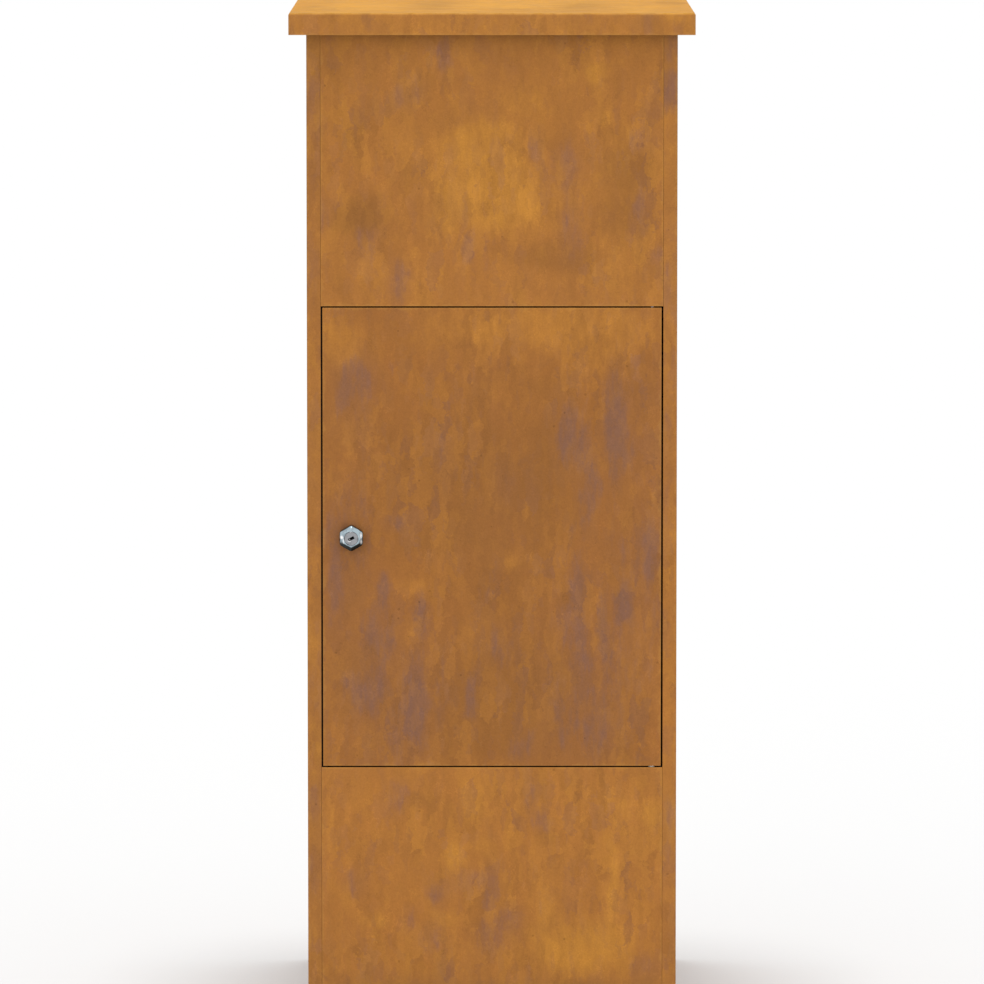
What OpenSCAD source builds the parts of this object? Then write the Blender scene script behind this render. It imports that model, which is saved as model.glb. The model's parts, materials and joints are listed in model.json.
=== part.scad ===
// Freestanding letterbox of folded weathering-steel sheet.
// A lockable door for taking the post out is on the -Y side, and the letter slot is on the +Y side.
// Origin at the middle of the footprint, +Z up, millimetres.

/* [Body] */
// Width over the two side panels
body_w = 375; // [320:5:450]
// Depth from the door side to the slot side
body_d = 345; // [280:5:420]
// Height from the ground to the top of the roof
total_h = 1020; // [900:10:1230]
// Thickness of the sheet that the panels, door and roof are made of
sheet = 1.5; // [1:0.25:2.5]
// Inside radius of every sheet fold
fold_in = 0.6; // [0.3:0.1:1.2]
// Width of the side panels' flanges beside the door and the slot panel
flange_w = 14; // [12:1:20]
// Gap at the butt seams between flanges and panels
seam_gap = 0.2; // [0.1:0.05:0.5]
// Width of the side panels' top lips, which carry the roof
top_lip_w = 20; // [18:1:30]

/* [Roof] */
// How far the roof reaches past the body on each side
roof_overhang = 17.5; // [14:0.5:30]
// Height of the roof's folded edge
roof_edge_h = 22; // [18:1:40]
// Diameter of the roof's weld studs
stud_d = 6; // [5:1:8]
// Distance from the studs to the front and rear of the body
stud_inset = 60; // [40:5:90]

/* [Straps and angles] */
// Thickness of the straps behind the seams
strap_t = 2; // [1.5:0.5:3]
// How far a strap reaches past its seam, behind the panel or door
strap_lap = 5.5; // [4:0.5:8]
// Thickness of the angles above and below the door opening
angle_t = 3; // [2:0.5:4]
// Leg of the angles above and below the door opening
angle_leg = 20; // [16:1:30]

/* [Door] */
// Height of the door opening's lower edge above the ground
sill_z = 252.5; // [200:2.5:300]
// Height of the door opening
opening_h = 470.5; // [350:0.5:500]
// Gap at the door's vertical edges
side_gap = 1.8; // [1.2:0.1:2.5]
// Gap at the door's top and bottom edges
end_gap = 1.5; // [1:0.1:2.5]
// Distance of the hinge axis from the door's hinge edge
pivot_inset = 9.2; // [8:0.2:12]
// Distance of the hinge axis behind the door's face
pivot_depth = 5.5; // [5.3:0.1:6.5]
// Diameter of the hinge pins
pin_d = 4; // [3:0.2:5]
// Radial clearance of a turning joint
running_gap = 0.08; // [0.03:0.01:0.1]
// Height of the door's top-hat stiffeners
stiffener_h = 34; // [24:1:50]
// Depth of the door's top-hat stiffeners
stiffener_d = 12; // [8:1:16]
// Distance of a stiffener's middle from the door's top or bottom edge
stiffener_inset = 83; // [70:1:110]

/* [Lock] */
// Distance of the lock's axis from the door's free edge
lock_inset = 29; // [26:0.1:34]
// Width over the flats of the lock's hexagonal head
lock_af = 23.4; // [22:0.2:28]
// How far the lock's head stands out of the door
lock_proud = 13; // [8:0.5:16]
// Diameter of the lock's turning plug
plug_d = 14; // [12:0.5:14]
// Reach of the lock's cam from the lock's axis
cam_reach = 36; // [34:1:38]

/* [Letter slot] */
// Width of the slot
slot_w = 300; // [220:5:300]
// Height of the slot
slot_h = 36; // [30:1:45]
// Distance of the slot's middle below the top of the roof
slot_drop = 140; // [120:5:160]
// Diameter of the rod that the flap turns on
rod_d = 5; // [4:0.5:6]

/* [Floor and base] */
// How far the compartment floor lies below the door opening
floor_drop = 8; // [6:1:14]
// Thickness of the base tray
base_t = 3; // [2:0.5:4]
// Width between the anchor holes, left to right
anchor_dx = 260; // [200:5:270]
// Distance between the anchor holes, front to rear
anchor_dy = 220; // [160:5:220]
// Diameter of the anchor holes
anchor_d = 11; // [9:1:13]

/* [Hidden] */
$fn = 64;
fold_steps = 5; // facets of one fold
rust = "#b0703a";
rust_pale = "#bd8040";
rust_dark = "#8f5a36";
zinc = "#b9bdc0";

front_y = -body_d/2;
rear_y = body_d/2;
body_h = total_h - sheet; // the roof sheet lies on the body's top edge
inner_x = body_w/2 - sheet; // inner face of a side panel
inner_y = body_d/2 - sheet; // inner face of the door-side and slot-side panels
opening_x = body_w/2 - flange_w; // half width between the flanges
head_z = sill_z + opening_h;
fold_space = sheet + fold_in; // room that a fold takes up
strap_x0 = opening_x - strap_lap;
strap_x1 = inner_x - fold_in - 0.3;
strap_end_gap = 3; // free height above and below a strap
strap_notch_x = opening_x + 2; // right strap's edge beside the door, clear of its swing

door_x = opening_x - side_gap; // half width of the door
door_z0 = sill_z + end_gap;
door_z1 = head_z - end_gap;
door_mid_z = (door_z0 + door_z1)/2;
pivot_x = door_x - pivot_inset;
pivot_y = front_y + pivot_depth;
lug_t = 3; // thickness of the door's hinge lugs
lug_leg = 22; // upright leg of a lug
lug_reach = 14; // depth of a lug behind the door sheet
lug_w = 24; // length of a lug on the free side of the axis
pin_head_d = pin_d + 2.5;
pin_head_h = 2;
pin_tail = 2.5; // how far a pin stands past its lug
pin_side_gap = 2.5; // between a pin's head and an upright leg
washer_d = pin_d + 2.4;
stiffener_flange = 12;
stiffener_edge = 22; // from the door's edges to a stiffener's ends

lock_x = -door_x + lock_inset;
barrel_d = plug_d + 4.6;
barrel_l = 12; // barrel behind the door's face
lock_corner_d = 1.1*lock_af; // the head's six corners are turned down to this diameter
bezel_rim = 1.5; // metal left round the plug at the head's front
bezel_chamfer = lock_af/2 - plug_d/2 - bezel_rim; // depth of the chamfers on the head's six flats
plug_proud = 0.4;
lock_nut_h = 4;
lock_nut_af = barrel_d + 5.4;
cam_t = 2;
cam_w = 14;
cam_gap = 0.8; // between the cam and the strap that it locks behind
cam_hub_y = front_y + barrel_l + 0.2;
cam_tip_y = front_y + sheet + strap_t + cam_gap;
cam_screw_d = 4;
cam_screw_head_d = 9.8; // covers the cam's square hole
cam_screw_grip = 8; // depth of the screw in the plug
screw_head_h = 2.6;
socket_depth = 1.6; // of the hexagonal sockets in the screws' heads

slot_z = total_h - slot_drop;
flap_w = slot_w + 16;
flap_wall = 1.5;
knuckle_d = rod_d + 2*running_gap + 2*flap_wall;
rod_y = rear_y + knuckle_d/2 + 2.4; // the rod's axis, clear of the slot panel
rod_z = slot_z + slot_h/2 + 14;
flap_lap = 9; // how far the flap covers the panel below the slot
ear_t = 2;
ear_gap = 0.8;
ear_x = flap_w/2 + ear_gap;
clip_t = 1;
deflector_w = slot_w + 16;

stud_x = inner_x - top_lip_w/2 + sheet/2;
stud_y = body_d/2 - stud_inset;
stud_hole_d = stud_d + 0.6;
washer_t = 1.6;
roof_nut_h = 5;
stud_l = sheet + washer_t + roof_nut_h + 2.5;

floor_z = sill_z - floor_drop; // top of the compartment floor
shelf_leg = 25; // legs of the angles that carry the floor
shelf_t = 2;
floor_lip = 15;
floor_edge_y = inner_y - angle_t - 1.5;
screw_d = 5;
screw_head_d = 9.5;
screw_inset = 60; // from the floor screws to the body's front and rear
screw_x = inner_x - shelf_leg/2 - 1;
screw_y = body_d/2 - screw_inset;
floor_nut_h = 4;
base_lip = 25;

// ---- Functions for outlines ----

function turned(v, a) = [v[0]*cos(a) - v[1]*sin(a), v[0]*sin(a) + v[1]*cos(a)];
function unit(v) = v/norm(v);
function left_of(u) = [-u[1], u[0]];
function bend(u, v) = atan2(u[0]*v[1] - u[1]*v[0], u[0]*v[0] + u[1]*v[1]);
function backwards(list) = [for (i = [len(list) - 1:-1:0]) list[i]];
function nut_af(d) = 1.65*d; // width over the flats of a nut for thread diameter d
function socket_af(d) = 0.6*d; // width over the flats of a screw's socket for thread diameter d

// One side of a strip that follows path, o to the left of it, with folds of radius r at mid-sheet
function strip_side(path, o, r) = [
  for (i = [0:len(path) - 1])
    let (
      last = len(path) - 1,
      u = unit(i == 0 ? path[1] - path[0] : path[i] - path[i - 1]),
      v = unit(i == last ? path[i] - path[i - 1] : path[i + 1] - path[i]),
      a = bend(u, v),
      s = sign(a),
      middle = path[i] - u*r*tan(abs(a)/2) + left_of(u)*s*r
    )
    each abs(a) < 0.01
      ? [path[i] + left_of(u)*o]
      : [for (k = [0:fold_steps]) middle - turned(left_of(u), a*k/fold_steps)*s*(r - s*o)]
];

// Closed outline of a sheet of thickness t whose middle follows path
function strip_outline(path, t) = concat(
  strip_side(path, t/2, fold_in + t/2),
  backwards(strip_side(path, -t/2, fold_in + t/2))
);

// Outline of a block w wide and h high whose two top corners are rounded to r
function pan_outline(w, h, r) = concat(
  [[-w/2, 0], [w/2, 0]],
  [for (k = [0:fold_steps]) [w/2 - r, h - r] + turned([r, 0], 90*k/fold_steps)],
  [for (k = [0:fold_steps]) [r - w/2, h - r] + turned([0, r], 90*k/fold_steps)]
);

// Rectangle with rounded corners, centred
function rounded_rect(w, h, r) = [
  for (c = [[1, 1, 0], [-1, 1, 90], [-1, -1, 180], [1, -1, 270]])
    for (k = [0:fold_steps])
      [c[0]*(w/2 - r), c[1]*(h/2 - r)] + turned([r, 0], c[2] + 90*k/fold_steps)
];

// ---- Placing ----

// Extrudes a YZ outline along X, centred on x = 0
module along_x(length) {
  rotate([90, 0, 90]) linear_extrude(height = length, center = true) children();
}

// Extrudes an XZ outline along Y, centred on y = 0
module along_y(length) {
  rotate([90, 0, 0]) linear_extrude(height = length, center = true) children();
}

// Box between two corners
module block(a, b) {
  translate(a) cube(b - a);
}

// Round bar along Y from y0 to y1
module bar_y(d, y0, y1) {
  translate([0, y0, 0]) rotate([-90, 0, 0]) cylinder(d = d, h = y1 - y0);
}

// Hexagonal bar along Y from y0 to y1, with a corner at the top
module hex_y(af, y0, y1) {
  translate([0, y0, 0]) rotate([-90, 90, 0]) cylinder(d = af/cos(30), h = y1 - y0, $fn = 6);
}

// Puts a copy at each of the four places (+-x, +-y)
module four_places(x, y, z) {
  for (sx = [-1, 1], sy = [-1, 1]) translate([sx*x, sy*y, z]) children();
}

// Hexagonal nut for a thread of diameter d, standing on z = 0
module nut(d, h) {
  difference() {
    cylinder(d = nut_af(d)/cos(30), h = h, $fn = 6);
    translate([0, 0, -1]) cylinder(d = d, h = h + 2);
  }
}

// Screw head with a hexagonal socket for thread diameter d, standing on z = 0
module socket_head(head_d, d) {
  difference() {
    cylinder(d = head_d, h = screw_head_h);
    translate([0, 0, screw_head_h - socket_depth])
      cylinder(d = socket_af(d)/cos(30), h = socket_depth + 1, $fn = 6);
  }
}

// ---- Body panels ----

// Side panel on +X: a channel with a flange at the front and at the rear, and a lip at the top
module side_panel() {
  mid_x = body_w/2 - sheet/2;
  mid_y = body_d/2 - sheet/2;
  lip_start = body_h - fold_space - 1;
  lip_relief = fold_space + 3;
  lip_length = body_d - 2*lip_relief;
  difference() {
    union() {
      difference() {
        linear_extrude(height = body_h)
          polygon(strip_outline(
            [[opening_x, -mid_y], [mid_x, -mid_y], [mid_x, mid_y], [opening_x, mid_y]], sheet));
        block([body_w/2 - fold_space - 1, -lip_length/2, lip_start], [body_w, lip_length/2, body_h + 1]);
      }
      along_y(lip_length)
        polygon(strip_outline(
          [[mid_x, lip_start], [mid_x, body_h - sheet/2], [inner_x - top_lip_w, body_h - sheet/2]],
          sheet));
    }
    for (sy = [-1, 1])
      translate([stud_x, sy*stud_y, body_h - 2*sheet]) cylinder(d = stud_hole_d, h = 3*sheet);
  }
}

module left_side_panel() {
  color(rust) mirror([1, 0, 0]) side_panel();
}

module right_side_panel() {
  color(rust) side_panel();
}

// Flat sheet between the side panels' flanges, from z0 to z1
module flat_panel(y0, z0, z1) {
  block([-opening_x + seam_gap, y0, z0], [opening_x - seam_gap, y0 + sheet, z1]);
}

module upper_door_side_panel() {
  color(rust_pale) flat_panel(front_y, head_z, body_h);
}

module lower_door_side_panel() {
  color(rust_pale) flat_panel(front_y, 0, sill_z);
}

module slot_side_panel() {
  slot_corner = 3;
  color(rust_pale) difference() {
    flat_panel(rear_y - sheet, 0, body_h);
    translate([0, rear_y, slot_z]) rotate([90, 0, 0])
      linear_extrude(height = 4*sheet, center = true)
        polygon(rounded_rect(slot_w, slot_h, slot_corner));
  }
}

// ---- Straps behind the seams, and angles round the door opening ----

// Strap behind the seam on the +X side of the door side
module seam_strap() {
  block(
    [strap_x0, front_y + sheet, base_lip + strap_end_gap],
    [strap_x1, front_y + sheet + strap_t, body_h - sheet - strap_end_gap]);
}

module left_door_side_strap() {
  color(rust_dark) mirror([1, 0, 0]) seam_strap();
}

// The hinge-side strap is cut back beside the door, whose edge swings inwards there
module right_door_side_strap() {
  color(rust_dark) difference() {
    seam_strap();
    block([strap_x0 - 1, front_y, sill_z], [strap_notch_x, front_y + 20, head_z]);
  }
}

module left_slot_side_strap() {
  color(rust_dark) rotate([0, 0, 180]) seam_strap();
}

module right_slot_side_strap() {
  color(rust_dark) mirror([0, 1, 0]) seam_strap();
}

// Angle with its level leg on z = 0 and its upright leg above, clear of the hinge pin
module opening_angle() {
  half_l = strap_x0 - 0.5;
  mid_y = front_y + sheet + angle_t/2;
  difference() {
    along_x(2*half_l)
      polygon(strip_outline(
        [[front_y + sheet + angle_leg, angle_t/2], [mid_y, angle_t/2], [mid_y, angle_leg]], angle_t));
    block(
      [pivot_x - pin_head_d/2 - pin_side_gap, front_y, angle_t],
      [half_l + 1, pivot_y + pin_head_d, angle_leg + 1]);
    translate([pivot_x, pivot_y, -1]) cylinder(d = pin_d, h = angle_t + 2);
  }
}

module door_head_angle() {
  color(rust_dark) translate([0, 0, head_z]) opening_angle();
}

module door_sill_angle() {
  color(rust_dark) translate([0, 0, sill_z]) mirror([0, 0, 1]) opening_angle();
}

// ---- Roof ----

// Block with its four top edges rounded to r
module pan_block(w, d, h, r) {
  intersection() {
    along_y(d) polygon(pan_outline(w, h, r));
    along_x(w) polygon(pan_outline(d, h, r));
  }
}

// Shallow tray turned upside down over the body
module roof_cap() {
  roof_w = body_w + 2*roof_overhang;
  roof_d = body_d + 2*roof_overhang;
  color(rust_pale) translate([0, 0, total_h - roof_edge_h]) difference() {
    pan_block(roof_w, roof_d, roof_edge_h, fold_space);
    translate([0, 0, -1])
      pan_block(roof_w - 2*sheet, roof_d - 2*sheet, roof_edge_h - sheet + 1, fold_in);
  }
}

// Weld studs under the roof sheet, through the side panels' top lips
module roof_studs() {
  color(zinc) four_places(stud_x, stud_y, body_h - stud_l) cylinder(d = stud_d, h = stud_l);
}

module roof_washers() {
  color(zinc) four_places(stud_x, stud_y, body_h - sheet - washer_t) difference() {
    cylinder(d = 2*stud_d, h = washer_t);
    translate([0, 0, -1]) cylinder(d = stud_hole_d, h = washer_t + 2);
  }
}

module roof_nuts() {
  color(zinc) four_places(stud_x, stud_y, body_h - sheet - washer_t - roof_nut_h)
    nut(stud_d, roof_nut_h);
}

// ---- Door ----

module door_sheet() {
  color(rust_pale) difference() {
    block([-door_x, front_y, door_z0], [door_x, front_y + sheet, door_z1]);
    translate([lock_x, 0, door_mid_z]) bar_y(barrel_d, front_y - 1, front_y + sheet + 1);
  }
}

// Top-hat channel lying across the back of the door sheet, its middle at height z
module door_stiffener(z) {
  skin = inner_y - sheet/2;
  crown = inner_y - stiffener_d + sheet/2;
  reach = stiffener_h/2 + stiffener_flange;
  translate([(pivot_inset - stiffener_edge)/2, 0, z])
    along_x(2*door_x - 2*stiffener_edge - pivot_inset)
      polygon(strip_outline([
        [-skin, -reach], [-skin, -stiffener_h/2], [-crown, -stiffener_h/2],
        [-crown, stiffener_h/2], [-skin, stiffener_h/2], [-skin, reach]
      ], sheet));
}

module upper_door_stiffener() {
  color(rust_dark) door_stiffener(door_z1 - stiffener_inset);
}

module lower_door_stiffener() {
  color(rust_dark) door_stiffener(door_z0 + stiffener_inset);
}

// Angle lug with its level ear on z = 0, reaching upwards behind the door sheet
module door_lug() {
  mid_y = front_y + sheet + lug_t/2;
  lug_x0 = pivot_x - lug_w;
  lug_x1 = pivot_x + pin_d/2 + 4;
  difference() {
    translate([(lug_x0 + lug_x1)/2, 0, 0])
      along_x(lug_x1 - lug_x0)
        polygon(strip_outline(
          [[front_y + sheet + lug_reach, lug_t/2], [mid_y, lug_t/2], [mid_y, lug_leg]], lug_t));
    block(
      [pivot_x - pin_d/2 - pin_side_gap, front_y, lug_t],
      [lug_x1 + 1, pivot_y + pin_head_d, lug_leg + 1]);
    translate([pivot_x, pivot_y, -1]) cylinder(d = pin_d + 2*running_gap, h = lug_t + 2);
  }
}

module upper_door_lug() {
  color(rust_dark) translate([0, 0, door_z1]) mirror([0, 0, 1]) door_lug();
}

module lower_door_lug() {
  color(rust_dark) translate([0, 0, door_z0]) door_lug();
}

// Headed pin whose head lies on the far side of the angle, with z = 0 at the edge of the opening
module hinge_pin() {
  pin_l = angle_t + end_gap + lug_t + pin_tail;
  translate([pivot_x, pivot_y, angle_t - pin_l]) cylinder(d = pin_d, h = pin_l);
  translate([pivot_x, pivot_y, angle_t]) cylinder(d = pin_head_d, h = pin_head_h);
}

module upper_hinge_pin() {
  color(zinc) translate([0, 0, head_z]) hinge_pin();
}

module lower_hinge_pin() {
  color(zinc) translate([0, 0, sill_z]) mirror([0, 0, 1]) hinge_pin();
}

// Plain washer on the lower pin, which the door turns on
module hinge_washer() {
  color("white") translate([pivot_x, pivot_y, sill_z]) difference() {
    cylinder(d = washer_d, h = end_gap - running_gap);
    translate([0, 0, -1]) cylinder(d = pin_d + 2*running_gap, h = end_gap + 2);
  }
}

// ---- Lock ----

// Places its children on the lock's axis
module at_lock() {
  translate([lock_x, 0, door_mid_z]) children();
}

// Hexagonal head with turned corners, whose front is chamfered at 45 degrees on each of its flats
module bezel() {
  difference() {
    intersection() {
      hex_y(lock_af, front_y - lock_proud, front_y);
      bar_y(lock_corner_d, front_y - lock_proud - 1, front_y + 1);
    }
    for (k = [0:5])
      rotate([0, 60*k, 0])
        translate([lock_af/2, front_y - lock_proud + bezel_chamfer, 0])
          rotate([0, 0, -45])
            block([0, -lock_af, -lock_af], [lock_af, lock_af, lock_af]);
  }
}

module lock_body() {
  color("silver") at_lock() difference() {
    union() {
      bezel();
      bar_y(barrel_d, front_y - 1, front_y + barrel_l);
    }
    bar_y(plug_d + 2*running_gap, front_y - lock_proud - 1, front_y + barrel_l + 1);
  }
}

module lock_nut() {
  color(zinc) at_lock() difference() {
    hex_y(lock_nut_af, front_y + sheet, front_y + sheet + lock_nut_h);
    bar_y(barrel_d, front_y, front_y + barrel_l);
  }
}

// Turning plug with a keyway at its front and a square tail that drives the cam
module lock_plug() {
  tail = plug_d/2;
  keyway_w = 2.8;
  keyway_h = 6.4;
  keyway_turn = 62; // from upright, with the cam hanging down
  front = front_y - lock_proud - plug_proud;
  color("gray") at_lock() difference() {
    union() {
      bar_y(plug_d, front, cam_hub_y);
      block([-tail/2, cam_hub_y - 1, -tail/2], [tail/2, cam_hub_y + cam_t, tail/2]);
    }
    rotate([0, keyway_turn, 0])
      block([-keyway_w/2, front - 1, -keyway_h/2], [keyway_w/2, front + 12, keyway_h/2]);
    bar_y(cam_screw_d, cam_hub_y - cam_screw_grip, cam_hub_y + cam_t + 1);
  }
}

// Cranked flat cam, hanging down in the unlocked position
module lock_cam() {
  hub = cam_hub_y + cam_t/2;
  tip = cam_tip_y + cam_t/2;
  color(zinc) at_lock() difference() {
    intersection() {
      along_x(cam_w)
        polygon(strip_outline(
          [[hub, cam_w/2], [hub, -cam_w], [tip, -cam_w - (hub - tip)], [tip, -cam_reach]], cam_t));
      union() {
        bar_y(cam_w, front_y, front_y + 2*barrel_l);
        block([-cam_w/2, front_y, -cam_reach + cam_w/2], [cam_w/2, front_y + 2*barrel_l, 0]);
        translate([0, 0, -cam_reach + cam_w/2]) bar_y(cam_w, front_y, front_y + 2*barrel_l);
      }
    }
    block([-plug_d/4, front_y, -plug_d/4], [plug_d/4, front_y + 2*barrel_l, plug_d/4]);
  }
}

module cam_screw() {
  color(zinc) at_lock() {
    bar_y(cam_screw_d, cam_hub_y - cam_screw_grip, cam_hub_y + cam_t);
    translate([0, cam_hub_y + cam_t, 0]) rotate([-90, 0, 0]) socket_head(cam_screw_head_d, cam_screw_d);
  }
}

// ---- Letter slot ----

// Sheet flap rolled round the rod at its top edge, with a finger lip at its foot
module slot_flap() {
  skin = rod_y - knuckle_d/2 + flap_wall/2;
  foot = slot_z - slot_h/2 - flap_lap;
  color(rust_pale) difference() {
    union() {
      translate([0, rod_y, rod_z]) rotate([0, 90, 0]) cylinder(d = knuckle_d, h = flap_w, center = true);
      along_x(flap_w)
        polygon(strip_outline([[skin, rod_z], [skin, foot], [skin + 5, foot - 5]], flap_wall));
    }
    translate([0, rod_y, rod_z]) rotate([0, 90, 0])
      cylinder(d = rod_d + 2*running_gap, h = flap_w + 2, center = true);
  }
}

module flap_rod() {
  color(zinc) translate([0, rod_y, rod_z]) rotate([0, 90, 0])
    cylinder(d = rod_d, h = 2*(ear_x + ear_t + clip_t + 1.5), center = true);
}

// Folded ear on the slot panel at +X, with its foot pointing away from the flap
module flap_ear() {
  foot_l = 11;
  ear_h = 16;
  ear_y = rod_y + knuckle_d/2;
  difference() {
    translate([0, 0, rod_z - ear_h/2]) linear_extrude(height = ear_h)
      polygon(strip_outline([
        [ear_x + ear_t/2, ear_y], [ear_x + ear_t/2, rear_y + ear_t/2],
        [ear_x + foot_l, rear_y + ear_t/2]
      ], ear_t));
    translate([ear_x - 1, rod_y, rod_z]) rotate([0, 90, 0]) cylinder(d = rod_d, h = ear_t + 2);
  }
}

module left_flap_ear() {
  color(rust) mirror([1, 0, 0]) flap_ear();
}

module right_flap_ear() {
  color(rust) flap_ear();
}

// Push-on rings that keep the rod in its ears
module rod_clips() {
  color(zinc) for (sx = [-1, 1])
    translate([sx*(ear_x + ear_t + clip_t/2), rod_y, rod_z]) rotate([0, 90, 0]) difference() {
      cylinder(d = rod_d + 2.6, h = clip_t, center = true);
      cylinder(d = rod_d, h = clip_t + 1, center = true);
    }
}

// Bent plate behind the slot: it turns letters down and keeps hands and rain out
module letter_deflector() {
  skin = inner_y - sheet/2;
  color(rust_dark) along_x(deflector_w)
    polygon(strip_outline([
      [skin, slot_z + slot_h/2 + 46], [skin, slot_z + slot_h/2 + 24],
      [skin - 72, slot_z + slot_h/2 + 24], [skin - 92, slot_z - slot_h/2 - 28]
    ], sheet));
}

// ---- Floor and base ----

// Floor sheet of the compartment, with stiffening lips folded down at the front and rear
module compartment_floor() {
  half_x = inner_x - 1;
  lip_x = inner_x - shelf_leg - 2;
  edge = floor_edge_y - sheet/2;
  color(rust_dark) difference() {
    union() {
      block([-half_x, -edge + fold_space, floor_z - sheet], [half_x, edge - fold_space, floor_z]);
      along_x(2*lip_x)
        polygon(strip_outline([
          [-edge, floor_z - floor_lip], [-edge, floor_z - sheet/2],
          [edge, floor_z - sheet/2], [edge, floor_z - floor_lip]
        ], sheet));
    }
    four_places(screw_x, screw_y, floor_z - 2*sheet) cylinder(d = screw_d, h = 3*sheet);
  }
}

// Angle on the +X side panel that carries the floor
module floor_angle() {
  mid_z = floor_z - sheet - shelf_t/2;
  mid_x = inner_x - shelf_t/2;
  difference() {
    along_y(2*floor_edge_y - 2*strap_t)
      polygon(strip_outline(
        [[inner_x - shelf_leg, mid_z], [mid_x, mid_z], [mid_x, mid_z - shelf_leg]], shelf_t));
    for (sy = [-1, 1])
      translate([screw_x, sy*screw_y, mid_z - shelf_t]) cylinder(d = screw_d, h = 2*shelf_t);
  }
}

module left_floor_angle() {
  color(rust_dark) mirror([1, 0, 0]) floor_angle();
}

module right_floor_angle() {
  color(rust_dark) floor_angle();
}

module floor_screws() {
  grip = sheet + shelf_t + floor_nut_h + 2;
  color(zinc) four_places(screw_x, screw_y, floor_z) {
    translate([0, 0, -grip]) cylinder(d = screw_d, h = grip);
    socket_head(screw_head_d, screw_d);
  }
}

module floor_nuts() {
  color(zinc) four_places(screw_x, screw_y, floor_z - sheet - shelf_t - floor_nut_h)
    nut(screw_d, floor_nut_h);
}

// Tray that closes the bottom and takes the ground anchors, its side lips on the side panels
module base_tray() {
  mid_x = inner_x - base_t/2;
  color(rust_dark) difference() {
    along_y(2*inner_y - 2*fold_in - 0.4)
      polygon(strip_outline(
        [[-mid_x, base_lip], [-mid_x, base_t/2], [mid_x, base_t/2], [mid_x, base_lip]], base_t));
    four_places(anchor_dx/2, anchor_dy/2, -1) cylinder(d = anchor_d, h = base_t + 2);
  }
}

left_side_panel();
right_side_panel();
upper_door_side_panel();
lower_door_side_panel();
slot_side_panel();
left_door_side_strap();
right_door_side_strap();
left_slot_side_strap();
right_slot_side_strap();
door_head_angle();
door_sill_angle();
roof_cap();
roof_studs();
roof_washers();
roof_nuts();
door_sheet();
upper_door_stiffener();
lower_door_stiffener();
upper_door_lug();
lower_door_lug();
upper_hinge_pin();
lower_hinge_pin();
hinge_washer();
lock_body();
lock_nut();
lock_plug();
lock_cam();
cam_screw();
slot_flap();
flap_rod();
left_flap_ear();
right_flap_ear();
rod_clips();
letter_deflector();
compartment_floor();
left_floor_angle();
right_floor_angle();
floor_screws();
floor_nuts();
base_tray();
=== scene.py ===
import json
import math

import bmesh
import bpy
from mathutils import Matrix, Vector


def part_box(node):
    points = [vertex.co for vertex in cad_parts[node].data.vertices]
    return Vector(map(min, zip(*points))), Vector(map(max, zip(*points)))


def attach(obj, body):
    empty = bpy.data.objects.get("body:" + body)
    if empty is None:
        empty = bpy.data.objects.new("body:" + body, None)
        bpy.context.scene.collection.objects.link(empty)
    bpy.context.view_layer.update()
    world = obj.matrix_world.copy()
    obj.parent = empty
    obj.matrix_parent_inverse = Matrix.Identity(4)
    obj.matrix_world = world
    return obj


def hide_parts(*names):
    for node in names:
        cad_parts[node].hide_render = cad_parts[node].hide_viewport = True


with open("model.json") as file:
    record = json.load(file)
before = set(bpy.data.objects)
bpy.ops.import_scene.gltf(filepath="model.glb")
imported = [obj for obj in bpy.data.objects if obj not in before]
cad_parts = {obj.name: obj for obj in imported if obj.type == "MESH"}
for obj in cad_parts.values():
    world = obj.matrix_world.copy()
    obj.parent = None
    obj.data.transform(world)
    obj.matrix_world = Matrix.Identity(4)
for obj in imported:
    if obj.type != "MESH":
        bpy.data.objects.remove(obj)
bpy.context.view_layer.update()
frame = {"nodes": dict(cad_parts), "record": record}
record = frame["record"]
bodyOf = {n: body for body, names in record["behaviour"]["bodies"].items() for n in names}
slotOf = {part["node"]: part["material_slot"] for part in record["subparts"]}
scene = bpy.context.scene
mm = 0.001
print("Frame loaded with", len(frame["nodes"]), "nodes")


# Camera, light and floor

cameraSetup = {"position": (0.0, -8.19, 1.3376), "pitch": 5.723, "lens": 290.6, "sensor": 36.0}
lightSetup = {
    "sky": (1.0, 1.0, 1.0), "skyStrength": 1.0,
    "overhead": 3.1, "overheadSize": 25.0,
    "front": 0.15, "frontSize": 40.0, "frontHeight": 20.0, "frontSide": -25.0,
}
floorSetup = {"radius": 120.0, "color": (0.5, 0.5, 0.5), "roughness": 0.9}


def makeCamera(setup):
    data = bpy.data.cameras.new("camera")
    data.sensor_width = setup["sensor"]
    data.lens = setup["lens"]
    data.clip_start = 0.1
    data.clip_end = 500.0
    camera = bpy.data.objects.new("camera", data)
    camera.location = setup["position"]
    camera.rotation_euler = (math.radians(90 - setup["pitch"]), 0.0, 0.0)
    scene.collection.objects.link(camera)
    scene.camera = camera


def makeSun(name, strength, size, height, side):
    data = bpy.data.lights.new(name, "SUN")
    data.energy = strength
    data.angle = math.radians(size)
    sun = bpy.data.objects.new(name, data)
    sun.rotation_euler = (math.radians(90 - height), 0.0, math.radians(side))
    scene.collection.objects.link(sun)


def makeLight(setup):
    world = bpy.data.worlds.new("studioSky")
    world.use_nodes = True
    sky = world.node_tree.nodes["Background"]
    sky.inputs["Color"].default_value = (*setup["sky"], 1.0)
    sky.inputs["Strength"].default_value = setup["skyStrength"]
    scene.world = world
    makeSun("overheadLight", setup["overhead"], setup["overheadSize"], 90.0, 0.0)
    makeSun("frontLight", setup["front"], setup["frontSize"], setup["frontHeight"], setup["frontSide"])


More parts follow.
